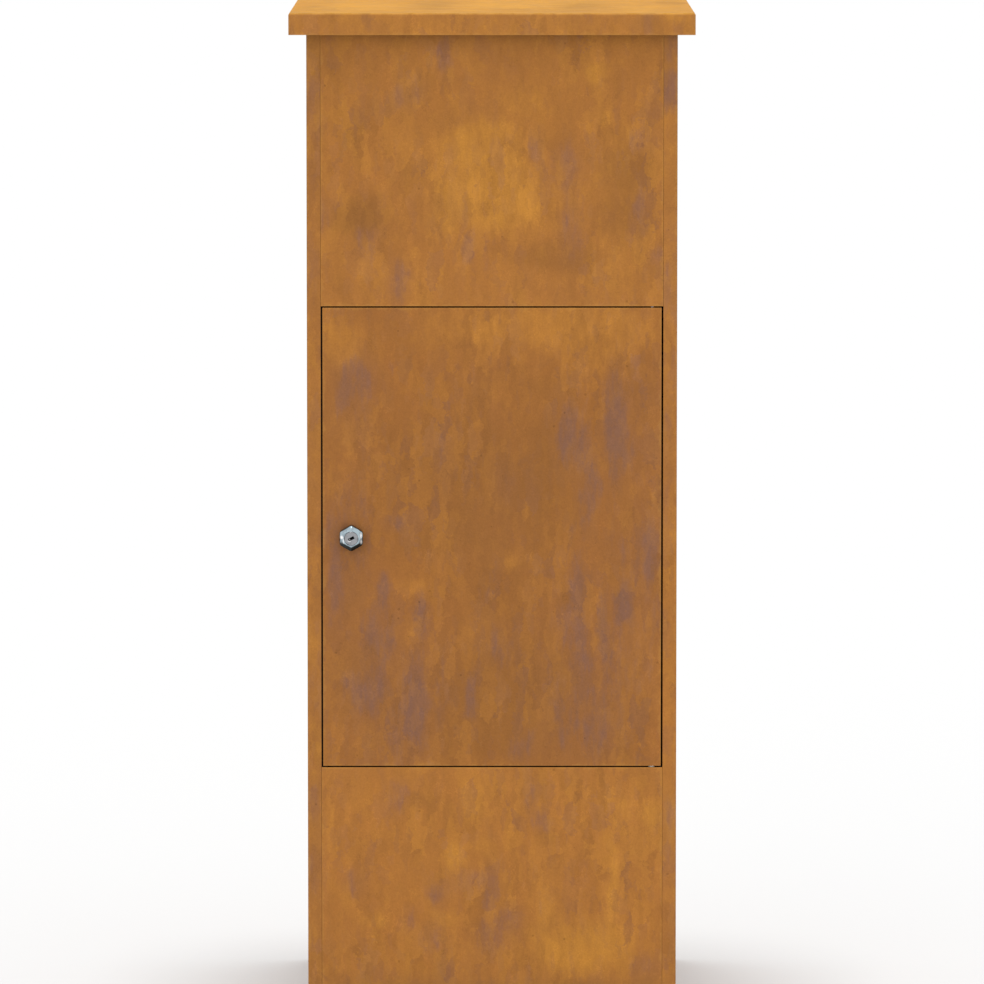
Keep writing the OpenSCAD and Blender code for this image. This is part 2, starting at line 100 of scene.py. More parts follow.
def makeFloor(setup):
    shape = bmesh.new()
    bmesh.ops.create_circle(shape, cap_ends=True, segments=96, radius=setup["radius"])
    mesh = bpy.data.meshes.new("studioFloor")
    shape.to_mesh(mesh)
    shape.free()
    floor = bpy.data.objects.new("studioFloor", mesh)
    paint = bpy.data.materials.new("floorPaint")
    paint.use_nodes = True
    shader = paint.node_tree.nodes["Principled BSDF"]
    shader.inputs["Base Color"].default_value = (*setup["color"], 1.0)
    shader.inputs["Roughness"].default_value = setup["roughness"]
    shader.inputs["Specular IOR Level"].default_value = 0.0
    mesh.materials.append(paint)
    scene.collection.objects.link(floor)


scene.view_settings.view_transform = "Standard"
makeCamera(cameraSetup)
makeLight(lightSetup)
makeFloor(floorSetup)
print("Camera, light and floor are in place")


# Small helpers for shader trees

origin = (0.0, 0.0, 0.0)
unit = (1.0, 1.0, 1.0)
grey = (0.5, 0.5, 0.5)


def feed(tree, node, values):
    for name, value in values.items():
        if isinstance(value, bpy.types.NodeSocket):
            tree.links.new(value, node.inputs[name])
        else:
            node.inputs[name].default_value = value
    return node


def calc(tree, operation, a, b=0.0, clamp=False):
    node = tree.nodes.new("ShaderNodeMath")
    node.operation = operation
    node.use_clamp = clamp
    return feed(tree, node, {0: a, 1: b}).outputs[0]


def vectorCalc(tree, operation, a, b=origin):
    node = tree.nodes.new("ShaderNodeVectorMath")
    node.operation = operation
    feed(tree, node, {0: a, ("Scale" if operation == "SCALE" else 1): b})
    return node.outputs["Value" if operation == "LENGTH" else "Vector"]


def split(tree, value, kind="XYZ"):  # the three parts of a vector, or of a colour
    node = tree.nodes.new("ShaderNodeSeparate" + kind)
    tree.links.new(value, node.inputs[0])
    return node.outputs


def noise(tree, vector, seed, scale, detail, roughness, output="Fac"):
    node = tree.nodes.new("ShaderNodeTexNoise")
    node.noise_dimensions = "4D"
    feed(tree, node, {"Vector": vector, "W": seed, "Scale": scale, "Detail": detail, "Roughness": roughness})
    return node.outputs[output]


def cells(tree, vector, scale):  # how far the nearest point is, and three random values of its cell
    node = tree.nodes.new("ShaderNodeTexVoronoi")
    feed(tree, node, {"Vector": vector, "Scale": scale, "Randomness": 1.0})
    return node.outputs["Distance"], split(tree, node.outputs["Color"], "Color")


def smoothStep(tree, value, low, high, start=0.0, end=1.0):
    node = tree.nodes.new("ShaderNodeMapRange")
    node.interpolation_type = "SMOOTHSTEP"
    feed(tree, node, {"Value": value, "From Min": low, "From Max": high, "To Min": start, "To Max": end})
    return node.outputs["Result"]


def mixColor(tree, factor, a, b):
    node = tree.nodes.new("ShaderNodeMix")
    node.data_type = "RGBA"
    node.clamp_factor = True
    feed(tree, node, {0: factor, 6: a, 7: b})
    return node.outputs[2]


def newGroup(name, inputs, outputs):
    tree = bpy.data.node_groups.new(name, "ShaderNodeTree")
    for label, kind, value in inputs:
        socket = tree.interface.new_socket(name=label, in_out="INPUT", socket_type="NodeSocket" + kind)
        socket.default_value = value
    for label, kind in outputs:
        tree.interface.new_socket(name=label, in_out="OUTPUT", socket_type="NodeSocket" + kind)
    return tree, tree.nodes.new("NodeGroupInput").outputs, tree.nodes.new("NodeGroupOutput").inputs


def place(tree, group, values):
    node = tree.nodes.new("ShaderNodeGroup")
    node.node_tree = group
    return feed(tree, node, values)


# Node groups
# A noise is given as its scale, detail and roughness, and a step as the two inputs that it
# runs between and its values at them.

wanderNoise = {"roughness": 0.6, "steps": ((16.0, 2.0, 0.024), (60.0, 3.0, 0.012), (210.0, 2.0, 0.004))}


def makeWanderGroup(setup):  # bends a position a little, so that patches get ragged outlines
    tree, inside, outside = newGroup(
        "wander", [("Vector", "Vector", origin), ("Seed", "Float", 0.0)], [("Vector", "Vector")])
    total = inside["Vector"]
    for scale, detail, reach in setup["steps"]:
        drift = noise(tree, inside["Vector"], inside["Seed"], scale, detail, setup["roughness"], "Color")
        drift = vectorCalc(tree, "SCALE", vectorCalc(tree, "SUBTRACT", drift, grey), reach)
        total = vectorCalc(tree, "ADD", total, drift)
    tree.links.new(total, outside["Vector"])
    return tree


patchFade = (0.3, 1.55, 1.0, 0.0)  # a step over the distance from the middle, in half sizes


def makePatchGroup(fade):  # adds one soft patch to a mask
    tree, inside, outside = newGroup(
        "softPatch",
        [("Vector", "Vector", origin), ("Centre", "Vector", origin), ("Size", "Vector", unit),
         ("Strength", "Float", 1.0), ("So Far", "Float", 0.0)],
        [("Mask", "Float")])
    away = vectorCalc(tree, "SUBTRACT", inside["Vector"], inside["Centre"])
    away = vectorCalc(tree, "LENGTH", vectorCalc(tree, "DIVIDE", away, inside["Size"]))
    here = calc(tree, "MULTIPLY", smoothStep(tree, away, *fade), inside["Strength"])
    left = calc(tree, "SUBTRACT", 1.0, here)
    free = calc(tree, "MULTIPLY", calc(tree, "SUBTRACT", 1.0, inside["So Far"]), left)
    tree.links.new(calc(tree, "SUBTRACT", 1.0, free), outside["Mask"])
    return tree


driftCloud = {"detail": 5.0, "roughness": 0.58, "soft": 0.15}


def makeDriftGroup(setup):  # a cloudy mask, drawn out upwards by Stretch
    tree, inside, outside = newGroup(
        "drift",
        [("Vector", "Vector", origin), ("Seed", "Float", 0.0), ("Scale", "Float", 14.0),
         ("Stretch", "Float", 1.0), ("Cover", "Float", 0.5)],
        [("Mask", "Float")])
    squeeze = tree.nodes.new("ShaderNodeCombineXYZ")
    feed(tree, squeeze, {"X": 1.0, "Y": 1.0, "Z": calc(tree, "DIVIDE", 1.0, inside["Stretch"])})
    vector = vectorCalc(tree, "MULTIPLY", inside["Vector"], squeeze.outputs[0])
    cloud = noise(tree, vector, inside["Seed"], inside["Scale"], setup["detail"], setup["roughness"])
    push = calc(tree, "MULTIPLY", calc(tree, "SUBTRACT", inside["Cover"], 0.5), 0.5)
    middle = calc(tree, "SUBTRACT", 0.5, push)
    low = calc(tree, "SUBTRACT", middle, setup["soft"])
    high = calc(tree, "ADD", middle, setup["soft"])
    tree.links.new(smoothStep(tree, cloud, low, high), outside["Mask"])
    return tree


def boxGaps(tree, inside):  # from the box's low corner to a point, and from the point to its high corner
    return (vectorCalc(tree, "SUBTRACT", inside["Vector"], inside["Low"]),
            vectorCalc(tree, "SUBTRACT", inside["High"], inside["Vector"]))


rubbedEdge = {"ragged": (90.0, 4.0, 0.65), "reach": (0.4, 0.7, 0.15, 1.6)}


def makeEdgeGroup(setup):  # finds the rubbed edges of a part that fills the box from Low to High
    tree, inside, outside = newGroup(
        "edgeWear",
        [("Vector", "Vector", origin), ("Low", "Vector", origin), ("High", "Vector", unit),
         ("Width", "Float", 0.003), ("Seed", "Float", 0.0)],
        [("Mask", "Float")])
    below, above = (vectorCalc(tree, "ABSOLUTE", gap) for gap in boxGaps(tree, inside))
    x, y, z = split(tree, vectorCalc(tree, "MINIMUM", below, above))
    second = calc(tree, "MINIMUM", calc(tree, "MAXIMUM", x, y), z)
    second = calc(tree, "MAXIMUM", calc(tree, "MINIMUM", x, y), second)
    ragged = noise(tree, inside["Vector"], inside["Seed"], *setup["ragged"])
    reach = calc(tree, "MULTIPLY", inside["Width"], smoothStep(tree, ragged, *setup["reach"]))
    near = calc(tree, "SUBTRACT", 1.0, calc(tree, "DIVIDE", second, reach), clamp=True)
    tree.links.new(near, outside["Mask"])
    return tree


def makeDepthGroup():  # how deep a point lies inside the faces of the box from Low to High
    tree, inside, outside = newGroup(
        "depthInside",
        [("Vector", "Vector", origin), ("Low", "Vector", origin), ("High", "Vector", unit)],
        [("Depth", "Float")])
    x, y, z = split(tree, vectorCalc(tree, "MINIMUM", *boxGaps(tree, inside)))
    tree.links.new(calc(tree, "MINIMUM", calc(tree, "MINIMUM", x, y), z), outside["Depth"])
    return tree


rustTones = {
    "Rust Color": (0.388, 0.156, 0.037, 1.0), "Gold Color": (0.50, 0.216, 0.037, 1.0),
    "Violet Color": (0.255, 0.117, 0.067, 1.0), "Brown Color": (0.29, 0.119, 0.031, 1.0),
}
rustRecipe = {
    # how far the patterns are drawn out upwards
    "wide": (1.0, 1.0, 0.6), "tall": (1.0, 1.0, 0.24), "daubShape": (1.0, 1.0, 0.34),
    # noises, with a shift of the seed before the scale
    "cloud": (0.0, 17.0, 7.0, 0.62), "blot": (5.3, 52.0, 6.0, 0.62), "tint": (14.2, 88.0, 5.0, 0.62),
    "stroke": (2.7, 95.0, 4.0, 0.62), "brushed": (8.1, 48.0, 4.0, 0.6),
    "grain": (0.0, 520.0, 2.0, 0.65), "curl": (11.0, 110.0, 3.0, 0.6),
    # how a tone's mask is torn: push of blots and of strokes, strength of the torn and of the soft mask
    "Gold": (1.3, 0.8, 0.62, 0.38), "Brown": (1.8, 0.8, 0.64, 0.32), "Violet": (1.2, 2.0, 0.6, 0.38),
    "torn": (0.35, 1.05),
    "goldDrift": (0.5, 0.78, 0.0, 0.75), "brownDrift": (0.5, 0.24, 0.0, 0.75),
    "violetDrift": (0.55, 0.74, 0.0, 0.4),
    "goldTint": (0.52, 0.7, 0.0, 0.2), "brownTint": (0.48, 0.3, 0.0, 0.2),
    "daubs": (
        {"scale": 80.0, "swirl": (72.0, 4.0, 0.66), "shift": 21.0, "bend": 0.024, "tinge": 0.2,
         "light": 0.052},
        {"scale": 200.0, "swirl": (180.0, 4.0, 0.66), "shift": 22.0, "bend": 0.009, "tinge": 0.125,
         "light": 0.038}),
    "daubCover": (0.38, 0.6, 0.3, 1.25),
    "daubTones": (
        (0, 0.66, 0.74, "Gold Color"), (0, 0.3, 0.22, "Brown Color"), (1, 0.8, 0.88, "Violet Color")),
    "streak": (0.3, 0.7), "streakCover": (0.35, 0.65, 0.2, 1.0), "streakDepth": 0.12,
    "grainDepth": 0.3, "blotDepth": 0.22,
    "thread": (0.0, 0.02, 1.0, 0.0),
    "paleThread": (0.5, 0.64, 0.0, 0.16), "darkThread": (0.48, 0.36, 0.0, 0.14),
    "speckScale": 95.0, "speckSize": (0.86, 1.0, 0.0, 0.13), "speckDepth": 0.22,
    "roughness": (0.3, 0.7, 0.72, 0.92), "goldSheen": 0.04,
    "height": (0.55, 0.6, 0.25, -0.5),  # of the grain, blots, strokes and specks
}


def makeRustGroup(recipe):  # the rust itself: clouds of four tones, daubs, streaks, grain, threads and specks
    tree, inside, outside = newGroup(
        "rustSkin",
        [("Vector", "Vector", origin), ("Seed", "Float", 0.0), ("Mottle", "Float", 1.0),
         *((tone, "Float", 0.0) for tone in ("Gold", "Violet", "Brown")),
         *((tone, "Color", color) for tone, color in rustTones.items())],
        [("Color", "Color"), ("Roughness", "Float"), ("Height", "Float")])
    where, seed = inside["Vector"], inside["Seed"]
    wide = vectorCalc(tree, "MULTIPLY", where, recipe["wide"])
    tall = vectorCalc(tree, "MULTIPLY", where, recipe["tall"])

    def pattern(vector, name):
        shift, *form = recipe[name]
        return noise(tree, vector, calc(tree, "ADD", seed, shift), *form)

    cloud, blot, tint = pattern(wide, "cloud"), pattern(wide, "blot"), pattern(wide, "tint")
    stroke, brushed = pattern(tall, "stroke"), pattern(tall, "brushed")
    grain, curl = pattern(where, "grain"), pattern(where, "curl")
    blots = calc(tree, "SUBTRACT", blot, 0.5)
    strokes = calc(tree, "ADD", calc(tree, "SUBTRACT", stroke, 0.5), calc(tree, "SUBTRACT", brushed, 0.5))

    def spread(tone, drift):  # where a tone lies: its mask torn into blots and strokes, and its own drift
        blotPush, strokePush, tornAmount, softAmount = recipe[tone]
        push = calc(tree, "ADD", calc(tree, "MULTIPLY", blots, blotPush),
                    calc(tree, "MULTIPLY", strokes, strokePush))
        torn = smoothStep(tree, calc(tree, "ADD", inside[tone], push), *recipe["torn"])
        torn = calc(tree, "ADD", calc(tree, "MULTIPLY", torn, tornAmount),
                    calc(tree, "MULTIPLY", inside[tone], softAmount), clamp=True)
        return calc(tree, "MAXIMUM", torn, calc(tree, "MULTIPLY", drift, inside["Mottle"]))

    gold = spread("Gold", smoothStep(tree, cloud, *recipe["goldDrift"]))
    brown = spread("Brown", smoothStep(tree, cloud, *recipe["brownDrift"]))
    violet = spread("Violet", smoothStep(tree, brushed, *recipe["violetDrift"]))
    color = mixColor(tree, brown, inside["Rust Color"], inside["Brown Color"])
    color = mixColor(tree, gold, color, inside["Gold Color"])
    color = mixColor(tree, violet, color, inside["Violet Color"])
    color = mixColor(tree, smoothStep(tree, tint, *recipe["goldTint"]), color, inside["Gold Color"])
    color = mixColor(tree, smoothStep(tree, tint, *recipe["brownTint"]), color, inside["Brown Color"])

    # crisp daubs, wide and fine, drawn out downwards and bent out of their round shape
    lift = 0.0
    shown = smoothStep(tree, cloud, *recipe["daubCover"])
    for daub in recipe["daubs"]:
        swirl = noise(tree, where, calc(tree, "ADD", seed, daub["shift"]), *daub["swirl"], "Color")
        swirl = vectorCalc(tree, "SCALE", vectorCalc(tree, "SUBTRACT", swirl, grey), daub["bend"])
        bent = vectorCalc(tree, "MULTIPLY", vectorCalc(tree, "ADD", where, swirl), recipe["daubShape"])
        _, picks = cells(tree, bent, daub["scale"])
        for pick, low, high, tone in recipe["daubTones"]:
            amount = smoothStep(tree, picks[pick], low, high, 0.0, daub["tinge"])
            color = mixColor(tree, calc(tree, "MULTIPLY", amount, shown), color, inside[tone])
        light = calc(tree, "MULTIPLY", calc(tree, "SUBTRACT", picks[2], 0.5), daub["light"])
        lift = calc(tree, "ADD", lift, calc(tree, "MULTIPLY", light, shown))

    streaks = calc(tree, "SUBTRACT", smoothStep(tree, stroke, *recipe["streak"]), 0.5)
    streaks = calc(tree, "MULTIPLY", streaks, smoothStep(tree, cloud, *recipe["streakCover"]))
    shade = calc(tree, "ADD", 1.0, lift)
    for part, depth in ((streaks, recipe["streakDepth"]), (blots, recipe["blotDepth"]),
                        (calc(tree, "SUBTRACT", grain, 0.5), recipe["grainDepth"])):
        shade = calc(tree, "ADD", shade, calc(tree, "MULTIPLY", part, depth))

    # thin curled threads, paler or darker than the rust round them
    thread = calc(tree, "ABSOLUTE", calc(tree, "SUBTRACT", curl, 0.5))
    thread = smoothStep(tree, thread, *recipe["thread"])
    pale = calc(tree, "MULTIPLY", thread, smoothStep(tree, blot, *recipe["paleThread"]))
    dark = calc(tree, "MULTIPLY", thread, smoothStep(tree, blot, *recipe["darkThread"]))
    shade = calc(tree, "ADD", shade, calc(tree, "SUBTRACT", pale, dark))

    # scattered dark specks
    distance, dice = cells(tree, where, recipe["speckScale"])
    speck = calc(tree, "LESS_THAN", distance, smoothStep(tree, dice[0], *recipe["speckSize"]))
    shade = calc(tree, "SUBTRACT", shade, calc(tree, "MULTIPLY", speck, recipe["speckDepth"]))
    tree.links.new(vectorCalc(tree, "SCALE", color, shade), outside["Color"])

    rough = smoothStep(tree, blot, *recipe["roughness"])
    rough = calc(tree, "SUBTRACT", rough, calc(tree, "MULTIPLY", gold, recipe["goldSheen"]))
    tree.links.new(rough, outside["Roughness"])
    height = 0.0
    for part, amount in zip((grain, blot, stroke, speck), recipe["height"]):
        height = calc(tree, "ADD", height, calc(tree, "MULTIPLY", part, amount))
    tree.links.new(height, outside["Height"])
    return tree


wanderGroup = makeWanderGroup(wanderNoise)
patchGroup = makePatchGroup(patchFade)
driftGroup = makeDriftGroup(driftCloud)
edgeGroup = makeEdgeGroup(rubbedEdge)
depthGroup = makeDepthGroup()
rustGroup = makeRustGroup(rustRecipe)
print("Node groups are built")


# Materials

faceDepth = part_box("door_sheet")[0].y  # the door side's outer face
shellLow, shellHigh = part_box("left_side_panel")[0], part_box("right_side_panel")[1]
shellBox = ((shellLow.x, shellLow.y, -1.0), (shellHigh.x, shellHigh.y, 2.0))
doorLow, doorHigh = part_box("door_sheet")
gapHalf = 0.8 * mm  # from the door's edge to the middle of its gap
doorway = {"middle": {"X": (doorLow.x + doorHigh.x) / 2, "Z": (doorLow.z + doorHigh.z) / 2},
           "half": {"X": (doorHigh.x - doorLow.x) / 2 + gapHalf, "Z": (doorHigh.z - doorLow.z) / 2 + gapHalf}}
roofLow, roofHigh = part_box("roof_cap")
roofBox = ((roofLow.x, roofLow.y, -1.0), tuple(roofHigh))
everyTone = ("gold", "violet", "brown")
patchDeep = 0.04  # half depth of a patch, square to its face

# A drift is the scale, stretch, cover and strength of a tone's own clouds.
plainDrift = {
    "gold": (13.0, 1.3, 0.42, 0.55), "violet": (15.0, 2.6, 0.36, 0.6), "brown": (12.0, 1.2, 0.45, 0.55)}
faintDrift = {
    "gold": (13.0, 1.3, 0.36, 0.25), "violet": (15.0, 2.6, 0.3, 0.25), "brown": (12.0, 1.2, 0.38, 0.25)}

# Patches are listed one by one: their middle, half width and half height in mm, and strength.
# Those of a look lie on the door's side, and those of its "side" on the part's own outer face.
upperLook = {
    "seed": 1.7, "mottle": 0.45, "drift": faintDrift, "tones": rustTones,
    "gold": [
        (-12, 885, 48, 34, 0.85), (2, 832, 62, 38, 0.88), (-50, 825, 14, 35, 0.65), (25, 935, 26, 16, 0.5),
        (-75, 880, 22, 26, 0.35), (35, 850, 22, 20, 0.3),
        (105, 960, 12, 12, 0.7), (115, 915, 10, 12, 0.6), (-80, 850, 16, 20, 0.5), (-120, 755, 18, 25, 0.4),
        (-75, 745, 13, 15, 0.4), (130, 765, 20, 35, 0.45), (135, 900, 14, 10, 0.5)],
    "violet": [
        (-85, 940, 15, 20, 0.7), (-50, 975, 10, 25, 0.7), (45, 880, 8, 14, 0.7), (75, 860, 16, 25, 0.6),
        (80, 800, 14, 35, 0.7), (-20, 780, 7, 18, 0.7), (-95, 750, 13, 25, 0.7), (150, 815, 8, 35, 0.7),
        (170, 770, 12, 17, 0.6), (155, 895, 17, 15, 0.5), (-125, 790, 14, 14, 0.6), (-175, 815, 14, 22, 0.5)],
    "brown": [
        (-135, 812, 33, 28, 1.0), (-135, 910, 15, 17, 0.6), (135, 862, 34, 34, 0.9), (132, 812, 34, 26, 0.8),
        (70, 890, 20, 20, 0.5), (60, 772, 48, 18, 0.8), (95, 755, 26, 20, 0.5), (-160, 970, 24, 26, 0.6)],
}
doorLook = {
    "seed": 4.2, "mottle": 0.45, "drift": faintDrift,
    "tones": {**rustTones, "Rust Color": (0.333, 0.131, 0.0335, 1.0), "Gold Color": (0.45, 0.188, 0.036, 1.0),
              "Violet Color": (0.225, 0.107, 0.067, 1.0), "Brown Color": (0.272, 0.111, 0.030, 1.0)},
    "gold": [
        (40, 700, 140, 30, 0.8), (110, 682, 50, 42, 0.6), (-150, 685, 26, 34, 0.7),
        (-145, 590, 10, 24, 0.7),
        (-158, 535, 9, 22, 0.5), (30, 660, 10, 15, 0.5), (-5, 640, 8, 15, 0.5), (165, 530, 6, 14, 0.6),
        (-80, 435, 22, 8, 0.5), (-140, 430, 13, 20, 0.4), (-80, 395, 8, 14, 0.6), (-27, 380, 10, 28, 0.5),
        (-130, 285, 9, 18, 0.5), (155, 340, 18, 28, 0.35), (20, 465, 26, 10, 0.45), (57, 430, 6, 24, 0.4)],
    "violet": [
        (-135, 650, 24, 30, 0.5), (-130, 600, 8, 30, 0.6), (-47, 570, 9, 45, 0.45), (10, 545, 14, 28, 0.4),
        (80, 595, 13, 33, 0.8), (125, 600, 12, 60, 0.85), (95, 545, 14, 60, 0.6), (-100, 505, 14, 10, 0.6),
        (160, 475, 12, 30, 0.6), (90, 440, 10, 28, 0.7), (135, 420, 10, 20, 0.8), (115, 385, 8, 55, 0.8),
        (90, 360, 13, 60, 0.65), (115, 290, 22, 30, 0.6), (-160, 425, 8, 50, 0.45), (-112, 430, 10, 22, 0.6),
        (-72, 405, 8, 24, 0.8), (-115, 380, 18, 35, 0.6), (-130, 330, 22, 22, 0.6), (-80, 310, 13, 50, 0.8),
        (-22, 325, 8, 24, 0.6), (8, 380, 13, 24, 0.5), (30, 272, 14, 20, 0.5), (-110, 330, 55, 90, 0.4),
        (85, 340, 50, 100, 0.4), (150, 430, 30, 120, 0.45), (-150, 460, 26, 90, 0.45),
        (150, 610, 24, 60, 0.4), (-145, 625, 24, 50, 0.35)],
    "brown": [
        (-15, 540, 120, 100, 0.78), (-50, 485, 50, 20, 0.5), (10, 430, 60, 40, 0.6), (55, 645, 30, 20, 0.5),
        (55, 580, 22, 55, 0.4), (-145, 475, 25, 22, 0.5), (30, 340, 60, 60, 0.5), (0, 315, 125, 80, 0.75),
        (-145, 355, 30, 40, 0.6), (65, 490, 30, 40, 0.4)],
}
lowerLook = {
    "seed": 7.9, "mottle": 0.45, "drift": faintDrift,
    "tones": {**rustTones, "Rust Color": (0.40, 0.16, 0.037, 1.0)},
    "gold": [
        (-22, 215, 14, 26, 0.7), (-40, 160, 12, 21, 0.7), (-10, 173, 15, 10, 0.6), (40, 220, 22, 26, 0.35),
        (122, 220, 33, 18, 0.45), (165, 200, 18, 20, 0.7), (138, 173, 33, 14, 0.5), (123, 126, 10, 43, 0.6),
        (60, 110, 14, 30, 0.6), (90, 68, 60, 34, 0.95), (-43, 96, 18, 8, 0.6), (-122, 96, 18, 11, 0.6),
        (-148, 120, 9, 10, 0.5)],
    "violet": [
        (-95, 222, 12, 20, 0.7), (40, 220, 6, 18, 0.6), (50, 195, 10, 13, 0.6), (-140, 133, 14, 16, 0.6),
        (-53, 122, 12, 14, 0.7), (-26, 133, 20, 17, 0.5), (-2, 129, 9, 31, 0.7), (19, 93, 14, 19, 0.8),
        (0, 72, 21, 20, 0.6), (-85, 93, 10, 15, 0.6), (-60, 72, 20, 18, 0.5), (-49, 41, 10, 14, 0.7),
        (157, 47, 15, 14, 0.5)],
    "brown": [
        (-73, 217, 17, 11, 0.6), (55, 178, 14, 11, 0.7), (-165, 55, 35, 28, 0.5), (77, 157, 18, 16, 0.35),
        (-22, 129, 46, 20, 0.3), (8, 83, 26, 28, 0.35)],
}
leftLook = {
    "seed": 12.4, "mottle": 0.7, "drift": plainDrift,
    "tones": {**rustTones, "Rust Color": (0.352, 0.143, 0.037, 1.0)},
    "violet": [(-181, 215, 10, 20, 0.6), (-181, 147, 9, 26, 0.5)], "brown": [(-180, 967, 14, 32, 0.6)],
    "side": {
        "axes": "XYZ", "at": shellLow.x,
        "gold": [(60, 760, 60, 70, 0.75), (-70, 520, 50, 90, 0.6), (100, 300, 45, 70, 0.7),
                 (-40, 130, 60, 40, 0.6)],
        "violet": [(-20, 690, 13, 110, 0.7), (120, 560, 14, 130, 0.7), (20, 420, 18, 70, 0.6),
                   (-110, 300, 16, 100, 0.7), (60, 90, 26, 40, 0.6), (-90, 900, 20, 50, 0.6)],
        "brown": [(-60, 850, 70, 60, 0.6), (50, 600, 70, 80, 0.6), (-30, 250, 80, 80, 0.5),
                  (120, 60, 50, 45, 0.6)]},
}
rightLook = {
    "seed": 15.1, "mottle": 0.7, "drift": plainDrift,
    "tones": {**rustTones, "Rust Color": (0.40, 0.16, 0.037, 1.0)},
    "gold": [(181, 196, 9, 36, 0.7), (180, 660, 8, 40, 0.3)], "violet": [(181, 940, 14, 18, 0.8)],
    "brown": [(181, 560, 8, 30, 0.4)],
    "side": {
        "axes": "XYZ", "at": shellHigh.x,
        "gold": [(-60, 700, 50, 90, 0.7), (80, 420, 60, 70, 0.75), (-90, 180, 45, 60, 0.6),
                 (40, 900, 70, 40, 0.6)],
        "violet": [(20, 780, 14, 100, 0.7), (-120, 500, 12, 130, 0.6), (110, 640, 16, 110, 0.7),
                   (60, 250, 20, 80, 0.6), (-40, 340, 12, 80, 0.6), (-110, 880, 18, 60, 0.5)],
        "brown": [(0, 560, 85, 100, 0.6), (120, 860, 40, 80, 0.6), (-110, 70, 50, 45, 0.6),
                  (90, 90, 60, 50, 0.5)]},
}
slotSideLook = {
    "seed": 21.3, "mottle": 0.8, "drift": plainDrift, "tones": rustTones, "side": {
        "axes": "YXZ", "at": shellHigh.y,
        "gold": [(-70, 640, 60, 70, 0.7), (90, 480, 50, 90, 0.7), (20, 240, 80, 50, 0.7),
                 (-110, 150, 40, 60, 0.5)],
        "violet": [(-150, 800, 10, 90, 0.7), (150, 790, 10, 100, 0.7), (-40, 760, 14, 80, 0.6),
                   (60, 700, 12, 90, 0.6), (-120, 420, 18, 90, 0.7), (0, 400, 14, 70, 0.6),
                   (120, 200, 22, 60, 0.6)],
        "brown": [(0, 830, 140, 30, 0.7), (10, 560, 80, 70, 0.5), (-60, 300, 60, 60, 0.5),
                  (80, 80, 80, 50, 0.5)]},
}
roofLook = {
    "seed": 31.8, "mottle": 1.0,
    "drift": {
        "gold": (11.0, 1.0, 0.45, 0.7), "violet": (15.0, 1.0, 0.3, 0.25), "brown": (10.0, 1.0, 0.42, 0.5)},
    "side": {
        "axes": "ZXY", "at": roofHigh.z,
        "gold": [(-130, 20, 50, 150, 0.8), (20, 40, 60, 120, 0.8), (150, -40, 30, 120, 0.7),
                 (-40, -130, 70, 30, 0.6)],
        "violet": [(80, -150, 26, 20, 0.6), (-165, 150, 20, 30, 0.6), (110, 120, 40, 14, 0.5)],
        "brown": [(-60, 10, 26, 160, 0.9), (95, 10, 28, 150, 0.9), (-180, -60, 16, 90, 0.8),
                  (185, 90, 20, 90, 0.8), (40, -100, 50, 20, 0.6)]},
    "tones": {**rustTones, "Rust Color": (0.41, 0.168, 0.038, 1.0)},
    # painted light: the level top's colour is scaled and hazed for the light falling on it
    "top": {"low": 1.0182, "high": 1.0196, "light": (0.85, 0.895, 0.54), "haze": (0.42, 0.24, 0.04, 1.0),
            "hazeAmount": 0.2},
}
flapLook = {
    "seed": 26.6, "mottle": 0.8, "drift": plainDrift,
    "tones": {**rustTones, "Rust Color": (0.35, 0.134, 0.031, 1.0)},
}
innerLook = {
    "seed": 40.5, "mottle": 0.9, "drift": plainDrift,
    "tones": {"Rust Color": (0.215, 0.092, 0.03, 1.0), "Gold Color": (0.33, 0.145, 0.035, 1.0),
              "Violet Color": (0.115, 0.088, 0.08, 1.0), "Brown Color": (0.145, 0.066, 0.027, 1.0)},
}
weldLook = {
    "seed": 47.2, "mottle": 1.0, "drift": plainDrift,
    "tones": {"Rust Color": (0.19, 0.085, 0.034, 1.0), "Gold Color": (0.34, 0.16, 0.05, 1.0),
              "Violet Color": (0.10, 0.085, 0.085, 1.0), "Brown Color": (0.12, 0.062, 0.032, 1.0)},
}
rustFinish = {
    "specular": 0.1, "bumpStrength": 0.35, "bumpDepth": 0.0004,
    # painted shade: a near-black rim in the seams and darker hidden faces
    "rim": (0.0004, 0.0009), "rimEnd": (0.00135, 0.00148), "rimColor": (0.032, 0.013, 0.005, 1.0),
    "hiddenColor": (0.17, 0.068, 0.022, 1.0), "hiddenAmount": 0.35, "hiddenShade": (0.46, 0.44, 0.55),
    # painted shade behind the door's gaps
    "gapDirt": (0.0045, 0.002), "gapDirtDeep": (0.007, 0.0025), "gapDirtColor": (0.008, 0.004, 0.002, 1.0),
    "edgeWidth": 0.0035, "edgeColor": (0.52, 0.25, 0.055, 1.0), "edgeAmount": 0.35, "edgeRoughness": -0.12,
    "foot": 0.055, "footColor": (0.2, 0.11, 0.05, 1.0), "footAmount": 0.35, "footScale": 30.0,
    "footCover": 0.7, "toneShift": 3.1, "footShift": 9.0,
}


def newMaterial(name):
    paint = bpy.data.materials.new(name)
    paint.use_nodes = True
    tree = paint.node_tree
    return paint, tree, tree.nodes["Principled BSDF"], tree.nodes.new("ShaderNodeTexCoord").outputs["Object"]


def addBump(tree, shader, height, strength, depth):
    bump = tree.nodes.new("ShaderNodeBump")
    feed(tree, bump, {"Strength": strength, "Distance": depth, "Height": height})
    tree.links.new(bump.outputs["Normal"], shader.inputs["Normal"])


def onFace(axes, held, across, up):  # a vector given as one value square to a face and two along it
    parts = dict(zip(axes, (held, across, up)))
    return parts["X"], parts["Y"], parts["Z"]


